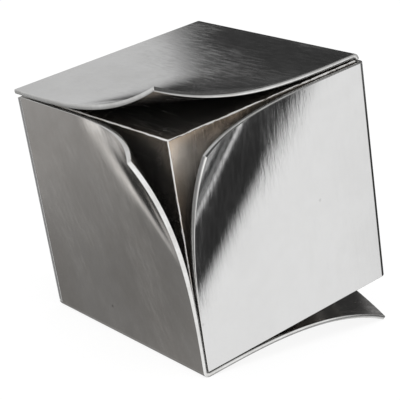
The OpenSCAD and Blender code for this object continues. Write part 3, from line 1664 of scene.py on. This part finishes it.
@dataclass
class InnerCube:
    """Six mitred plates welded into a cube, with their outer edges ground round."""

    sizes: CubeSizes
    stance: Stance
    steel: bpy.types.Material
    mesh_step: float = 4 * MM

    def build(self) -> list[bpy.types.Object]:
        """Builds the six plates.

        Returns:
            The pieces.
        """
        pieces = []
        for plate in CorePlate:
            node, normal, along_u, along_v = plate.value
            parts = self._plate(normal, along_u, along_v)
            piece = parts.to_object(node + "_plate", [self.steel])
            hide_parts(node)
            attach(piece, ROOT)
            LOG.info("%s: %d faces", piece.name, len(parts.faces))
            pieces.append(piece)
        return pieces

    def _plate(self, normal: np.ndarray, along_u: np.ndarray, along_v: np.ndarray) -> MeshParts:
        """Builds one plate, with its half of the rounding on each edge.

        Args:
            normal: The plate's outward normal.
            along_u: Direction of its first edge.
            along_v: Direction of its second edge.

        Returns:
            The parts of its mesh.
        """
        s = self.sizes
        side, ease, wall = s.core, s.core_ease, s.core_wall
        angles = [math.pi / 4 * k / CORE_EASE_STEPS for k in range(CORE_EASE_STEPS + 1)]
        stops = [ease * (1 - math.sin(angle)) for angle in angles]
        low = stops[-1]
        lines = spaced([*stops, *(side - stop for stop in stops)], self.mesh_step)
        u, v = np.meshgrid(lines, lines, indexing="ij")
        near = np.minimum(np.minimum(u, side - u), np.minimum(v, side - v))
        lean = np.clip((ease - near) / ease, 0.0, 1.0)
        sink = ease * (1 - np.sqrt(1 - lean**2))
        inner_lines = wall + (lines - low) * (side - 2 * wall) / (side - 2 * low)
        inner_u, inner_v = np.meshgrid(inner_lines, inner_lines, indexing="ij")
        corner = self.stance.cube_centre + (normal - along_u - along_v) * side / 2

        def carried(a: np.ndarray, b: np.ndarray, depth: np.ndarray) -> np.ndarray:
            """Carries plate points into the row frame.

            Args:
                a: Distances along the plate's first edge.
                b: Distances along its second edge.
                depth: Depths below its outer surface.

            Returns:
                Points of the row frame.
            """
            flat = a[..., None] * along_u + b[..., None] * along_v
            return self.stance.to_row(corner + flat - depth[..., None] * normal)

        outer_points = carried(u, v, sink)
        inner_points = carried(inner_u, inner_v, np.full_like(u, wall))
        way_u = np.where(near == u, -1.0, np.where(near == side - u, 1.0, 0.0))
        way_v = np.where(near == v, -1.0, np.where(near == side - v, 1.0, 0.0))
        sideways = unit(way_u[..., None] * along_u + way_v[..., None] * along_v)
        upright = np.sqrt(1 - lean**2)[..., None]
        outward = unit(upright * normal + lean[..., None] * sideways)
        inward = np.broadcast_to(-normal, outward.shape)
        count = len(lines)
        faces = self._grid_faces(count)
        places = np.stack([u, v, sink], -1) + abs(normal) * side
        return MeshParts(
            points=np.concatenate([outer_points.reshape(-1, 3), inner_points.reshape(-1, 3)]),
            faces=faces,
            finish_of=[0] * len(faces),
            normals=self.stance.turned(
                np.concatenate([outward.reshape(-1, 3), inward.reshape(-1, 3)])
            ),
            places=np.concatenate([places.reshape(-1, 3)] * 2),
            distances=np.concatenate([near.ravel(), near.ravel() + wall]),
        )

    @staticmethod
    def _grid_faces(count: int) -> list[tuple[int, ...]]:
        """Lists the faces of a square plate: outer grid, inner grid and mitred sides.

        Args:
            count: Number of grid lines each way.

        Returns:
            The faces.
        """
        under = count * count
        faces: list[tuple[int, ...]] = []
        for i in range(count - 1):
            for j in range(count - 1):
                a = i * count + j
                ring = (a, a + count, a + count + 1, a + 1)
                faces.append(ring)
                faces.append(tuple(k + under for k in reversed(ring)))
        last = count - 1
        for i in range(last):
            sides = [
                (i * count, (i + 1) * count),
                ((i + 1) * count + last, i * count + last),
                (i + 1, i),
                (last * count + i, last * count + i + 1),
            ]
            faces.extend((end, start, start + under, end + under) for start, end in sides)
        return faces


class PadRow(Enum):
    """The bonding pads of each face: node, turn in degrees, and places as near, mid or far."""

    TOP = ("pads_top", (0, 0, 0), ("ff", "fm", "mf"))
    BOTTOM = ("pads_bottom", (180, 0, 0), ("nn", "nm", "nf"))
    LEFT = ("pads_left", (0, -90, 0), ("nn", "nm", "mf", "nf"))
    RIGHT = ("pads_right", (0, 90, 0), ("nn", "nf", "fn", "ff"))
    FRONT = ("pads_front", (90, 0, 0), ("fn", "fm", "mn"))
    REAR = ("pads_rear", (-90, 0, 0), ("nn", "nf", "fn", "ff"))


@dataclass
class BondingPads:
    """Square foam pads that hold the skins to the inner cube."""

    sizes: CubeSizes
    stance: Stance
    foam: bpy.types.Material
    corner_radius: float = 1.6 * MM
    bulge: float = 0.25 * MM
    bulge_lean: float = 0.8
    corner_points: int = 6
    levels: int = 6

    def build(self) -> list[bpy.types.Object]:
        """Builds the pads of all six faces.

        Returns:
            The pieces, one for each face.
        """
        pieces = []
        for row in PadRow:
            node, turn, places = row.value
            parts = self._row(turn, places)
            piece = parts.to_object(node + "_foam", [self.foam])
            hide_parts(node)
            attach(piece, ROOT)
            LOG.info("%s: %d pads", piece.name, len(places))
            pieces.append(piece)
        return pieces

    def _outline(self, inset: float) -> np.ndarray:
        """Draws a square with rounded corners.

        Args:
            inset: How far its sides stand in.

        Returns:
            Its points, in order.
        """
        half = self.sizes.pad_side / 2 - inset
        radius = self.corner_radius
        points = []
        for quarter in range(4):
            for step in range(self.corner_points):
                angle = (quarter + step / (self.corner_points - 1)) * HALF_PI
                sign_x = 1 if quarter in (0, 3) else -1
                sign_y = 1 if quarter in (0, 1) else -1
                points.append(
                    [
                        sign_x * (half - radius) + radius * math.cos(angle),
                        sign_y * (half - radius) + radius * math.sin(angle),
                    ]
                )
        return np.array(points)

    def _row(self, turn: tuple[int, int, int], places: Sequence[str]) -> MeshParts:
        """Builds the pads of one face.

        Args:
            turn: How the face is turned from the top, in degrees.
            places: Where its pads lie.

        Returns:
            The parts of their mesh.
        """
        s = self.sizes
        at = {"n": s.pad_edge, "m": s.core / 2, "f": s.core - s.pad_edge}
        rotation = np.array(Euler([math.radians(a) for a in turn], "XYZ").to_matrix())
        points: list[np.ndarray] = []
        normals: list[np.ndarray] = []
        faces: list[tuple[int, ...]] = []
        ring = 4 * self.corner_points
        for code in places:
            start = len(points) * ring
            centre = np.array([at[code[0]], at[code[1]]]) - s.core / 2
            for level in range(self.levels):
                share = level / (self.levels - 1)
                inset = self.bulge * (2 * share - 1) ** 2
                outline = self._outline(inset) + centre
                height = np.full((ring, 1), s.core / 2 + s.pad * share)
                points.append(np.concatenate([outline, height], axis=1))
                away = np.concatenate([outline - centre, np.full((ring, 1), 0.0)], axis=1)
                lean = unit(away) + self.bulge_lean * (2 * share - 1) * Z_AXIS
                normals.append(unit(lean))
            for level in range(self.levels - 1):
                base = start + level * ring
                for k in range(ring):
                    nxt = (k + 1) % ring
                    faces.append((base + k, base + nxt, base + ring + nxt, base + ring + k))
            top = start + (self.levels - 1) * ring
            faces.append(tuple(top + k for k in range(ring)))
            faces.append(tuple(start + k for k in reversed(range(ring))))
        local = np.concatenate(points)
        turned = local @ rotation.T + self.stance.cube_centre
        return MeshParts(
            points=self.stance.to_row(turned),
            faces=faces,
            finish_of=[0] * len(faces),
            normals=self.stance.turned(np.concatenate(normals) @ rotation.T),
            places=local,
            distances=np.full(len(local), self.sizes.pad_side / 2),
        )


# ---- Studio ---------------------------------------------------------------------


@dataclass(frozen=True)
class Card:
    """A soft-edged patch of the studio that the steel mirrors: where it is and how bright.

    All but tone, slope and bend are in degrees. soft and soft_height are how far its edges
    fade either way. slope tilts the card, and bend curves it upwards away from its middle.
    """

    azimuth: float
    half_width: float
    elevation: float
    half_height: float
    tone: float
    soft: float = 3.0
    soft_height: float = 3.0
    slope: float = 0.0
    bend: float = 0.0


@dataclass
class Studio:
    """Pale floor, soft light and the patches of light and shade that the steel mirrors.

    Azimuths run from +Y towards +X, and elevations up from the horizon, in degrees.
    """

    floor_radius: float = 6.0
    floor_points: int = 96
    floor_tone: float = 0.14
    floor_mottle: float = 0.012
    floor_glow: float = 0.87
    room_low: float = 0.34
    room_high: float = 0.50
    room_from: float = -60.0
    room_to: float = 30.0
    soft_light: float = 1.0
    lamp_size: float = 2.4
    lamp_power: float = 26.0
    lamp_place: tuple[float, float, float] = (-0.6, -0.8, 2.6)
    cards: list[Card] = field(
        default_factory=lambda: [
            # Behind and to the left.
            Card(-120.0, 64.0, 30.0, 20.0, 1.00, 10.0, 8.0),
            Card(-168.0, 16.0, 16.0, 9.0, 2.30, 8.0, 5.0),
            Card(-92.0, 18.0, 36.0, 14.0, 2.50, 10.0, 6.0),
            Card(-72.0, 30.0, -10.0, 12.0, 0.26, 10.0, 5.0),
            # Below, on both sides.
            Card(-160.0, 58.0, -48.0, 26.0, 0.92, 10.0, 8.0),
            Card(120.0, 70.0, -68.0, 22.0, 0.70, 10.0, 6.0),
            # Ahead: the bright and the dark part of the top skin.
            Card(0.0, 32.0, 24.0, 34.0, 0.585, 1.2, 4.0),
            Card(50.0, 17.6, 20.0, 28.0, 0.036, 1.0, 4.0),
            Card(66.0, 3.6, 9.0, 7.0, 0.32, 2.0, 3.0),
            # High on the right, above the bright cards that the front mirrors.
            Card(130.0, 60.0, 56.0, 42.0, 0.022, 8.0, 5.0),
            Card(52.0, 16.0, 64.0, 11.0, 0.45, 6.0, 4.0),
            Card(106.0, 16.0, 29.0, 6.0, 0.22, 6.0, 4.0),
            # Low and ahead on the left: the flat part of the left skin.
            Card(-28.0, 62.0, -34.0, 16.0, 0.180, 8.0, 8.0),
            Card(-28.0, 30.0, -45.0, 9.0, 0.26, 8.0, 3.0),
            Card(-38.0, 16.0, -22.0, 4.0, 0.36, 3.0, 6.0),
            # Narrow bright and dark bands across the left skin's curl.
            Card(-14.0, 5.0, -27.2, 1.0, 0.46, 4.0, 1.0),
            Card(-8.0, 9.0, -28.95, 0.85, 0.78, 4.0, 0.7, -0.135),
            Card(-9.0, 12.5, -25.8, 0.55, 0.92, 4.0, 0.6),
            Card(10.0, 14.0, -22.6, 1.0, 0.040, 4.0, 0.7, 0.22, 0.003),
            Card(10.0, 15.0, -24.0, 0.55, 0.60, 4.0, 0.7, 0.20, 0.002),
            Card(8.0, 14.0, -26.8, 1.3, 0.030, 3.0, 0.9, 0.14, 0.0035),
            Card(13.0, 16.0, -28.3, 0.6, 0.40, 3.0, 0.7, 0.28, 0.0105),
            Card(4.2, 4.2, -28.4, 1.0, 0.03, 2.0, 0.7),
            # Low on the right: the front's dark curl with its streak, then its bright part.
            Card(90.0, 40.0, -22.0, 16.0, 0.026, 4.0, 5.0),
            Card(93.8, 2.0, -25.5, 6.0, 0.85, 2.8, 3.0),
            Card(148.0, 18.3, -18.0, 14.0, 0.90, 4.9, 5.0),
            Card(170.0, 20.0, -18.0, 14.0, 0.90, 8.0, 5.0),
        ]
    )

    def build(self) -> None:
        """Builds the world, the floor and the lights."""
        self._world(self._card_group())
        self._floor()
        self._lights()
        bpy.context.scene.view_settings.view_transform = "Standard"

    @staticmethod
    def _card_group() -> EffectGroup:
        """Makes the group that says how far a direction lies inside a card.

        Returns:
            The group.
        """
        group = EffectGroup(
            "studio_card",
            {
                "Azimuth": 0.0,
                "Elevation": 0.0,
                "Card Azimuth": 0.0,
                "Half Width": 10.0,
                "Card Elevation": 0.0,
                "Half Height": 10.0,
                "Soft": 3.0,
                "Soft Height": 3.0,
                "Slope": 0.0,
                "Bend": 0.0,
            },
            ("Mask",),
        )
        g, given = group.graph, group.given
        apart = g.math("SUBTRACT", given["Azimuth"], given["Card Azimuth"])
        apart = g.math("WRAP", apart, 180.0, -180.0)
        curve = g.math("MULTIPLY_ADD", apart, given["Bend"], given["Slope"])
        middle = g.math("MULTIPLY_ADD", apart, curve, given["Card Elevation"])
        above = g.math("ABSOLUTE", g.math("SUBTRACT", given["Elevation"], middle))
        apart = g.math("ABSOLUTE", apart)
        masks = []
        for value, half, soft in (
            (apart, given["Half Width"], given["Soft"]),
            (above, given["Half Height"], given["Soft Height"]),
        ):
            edge = g.math("ADD", half, soft)
            masks.append(g.ease(value, g.math("SUBTRACT", half, soft), edge, 1.0, 0.0))
        g.feed(group.result["Mask"], g.scaled(masks[0], masks[1]))
        return group

    def _world(self, group: EffectGroup) -> None:
        """Builds the world that lights the object and is mirrored in it.

        Args:
            group: The card group.
        """
        world = bpy.data.worlds.new("studio")
        world.use_nodes = True
        world.node_tree.nodes.clear()
        bpy.context.scene.world = world
        g = Graph(world.node_tree)
        split = g.add("SeparateXYZ")
        g.feed(split.inputs[0], g.add("TexCoord").outputs["Generated"])
        azimuth = g.math("DEGREES", g.math("ARCTAN2", split.outputs[0], split.outputs[1]))
        elevation = g.math("DEGREES", g.math("ARCSINE", split.outputs[2]))
        tone = g.ease(elevation, self.room_from, self.room_to, self.room_low, self.room_high)
        for card in self.cards:
            mask = group.use(
                g,
                Azimuth=azimuth,
                Elevation=elevation,
                Card_Azimuth=card.azimuth,
                Half_Width=card.half_width,
                Card_Elevation=card.elevation,
                Half_Height=card.half_height,
                Soft=card.soft,
                Soft_Height=card.soft_height,
                Slope=card.slope,
                Bend=card.bend,
            )["Mask"]
            tone = g.mix(mask, tone, card.tone)
        path = g.add("LightPath")
        seen = g.mix(path.outputs["Is Glossy Ray"], self.soft_light, tone)
        background = g.add("Background")
        g.feed(background.inputs["Color"], seen)
        output = g.add("OutputWorld")
        g.feed(output.inputs["Surface"], background.outputs[0])

    def _floor(self) -> None:
        """Lays the plain pale floor, which the steel doesn't mirror."""
        mesh = bpy.data.meshes.new("floor")
        count, radius = self.floor_points, self.floor_radius
        turns = [2 * math.pi * k / count for k in range(count)]
        rim = [(math.cos(turn) * radius, math.sin(turn) * radius, 0) for turn in turns]
        mesh.from_pydata(rim, [], [tuple(range(count))])
        material, g, shader = new_finish("pale_floor")
        place = g.add("TexCoord").outputs["Object"]
        uneven = g.ease(g.noise(place, scale=3.0, detail=4.0), low=0.3, high=0.7)
        light, dark = self.floor_tone, self.floor_tone - self.floor_mottle
        colour = g.tint(uneven, opaque((dark, dark, dark)), opaque((light, light, light)))
        g.feed(shader.inputs["Base Color"], colour)
        shader.inputs["Roughness"].default_value = 0.9
        shader.inputs["Specular IOR Level"].default_value = 0.0
        shader.inputs["Emission Color"].default_value = (1.0, 1.0, 1.0, 1.0)
        shader.inputs["Emission Strength"].default_value = self.floor_glow
        mesh.materials.append(material)
        floor = bpy.data.objects.new("floor", mesh)
        bpy.context.scene.collection.objects.link(floor)
        floor.visible_glossy = False

    def _lights(self) -> None:
        """Hangs one large soft light over the object, out of sight of the steel."""
        data = bpy.data.lights.new("overhead", "AREA")
        data.shape = "DISK"
        data.size = self.lamp_size
        data.energy = self.lamp_power
        lamp = bpy.data.objects.new("overhead", data)
        lamp.location = self.lamp_place
        lamp.rotation_euler = lamp.location.to_track_quat("Z", "Y").to_euler()
        lamp.visible_glossy = False
        bpy.context.scene.collection.objects.link(lamp)


@dataclass(frozen=True)
class Viewpoint:
    """Where the camera stands: the way it looks, its lens and the point that it aims at."""

    azimuth_deg: float = 39.016
    down_deg: float = 16.426
    roll_deg: float = 0.785
    lens_mm: float = 124.67
    sensor_mm: float = 36.0
    nearest: float = 0.05
    farthest: float = 50.0
    distance: float = 0.9033
    aim: tuple[float, float, float] = (-0.0023, 0.0018, 0.0883)

    def build(self) -> bpy.types.Object:
        """Makes the camera.

        Returns:
            The camera.
        """
        azimuth, down = math.radians(self.azimuth_deg), math.radians(self.down_deg)
        forward = Vector(
            (
                math.sin(azimuth) * math.cos(down),
                math.cos(azimuth) * math.cos(down),
                -math.sin(down),
            )
        )
        level = Vector((math.cos(azimuth), -math.sin(azimuth), 0.0))
        above = level.cross(forward)
        roll = math.radians(self.roll_deg)
        right = level * math.cos(roll) + above * math.sin(roll)
        up = right.cross(forward)
        place = Vector(self.aim) - forward * self.distance
        turn = Matrix((right, up, -forward)).transposed().to_4x4()
        data = bpy.data.cameras.new("camera")
        data.lens = self.lens_mm
        data.sensor_width = self.sensor_mm
        data.clip_start = self.nearest
        data.clip_end = self.farthest
        camera = bpy.data.objects.new("camera", data)
        camera.matrix_world = Matrix.Translation(place) @ turn
        bpy.context.scene.collection.objects.link(camera)
        bpy.context.scene.camera = camera
        return camera


def main() -> None:
    """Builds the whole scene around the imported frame."""
    logging.basicConfig(level=logging.INFO, format="%(name)s: %(message)s")
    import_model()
    Viewpoint().build()
    Studio().build()
    sizes = CubeSizes()
    stance = Stance.from_frame(sizes)
    LOG.info("cube stands tilted by %.3f degrees", math.degrees(stance.tilt))
    effects = Effects()
    cut_edge = GroundEdge().build(effects)
    for skin in (TopSkin, SideSkin, WrapSkin):
        skin(sizes, stance, effects, cut_edge).build()
    InnerCube(sizes, stance, WeldedSteel().build(effects)).build()
    BondingPads(sizes, stance, BondingFoam().build(effects)).build()
    bpy.context.view_layer.update()


if __name__ == "__main__":
    main()
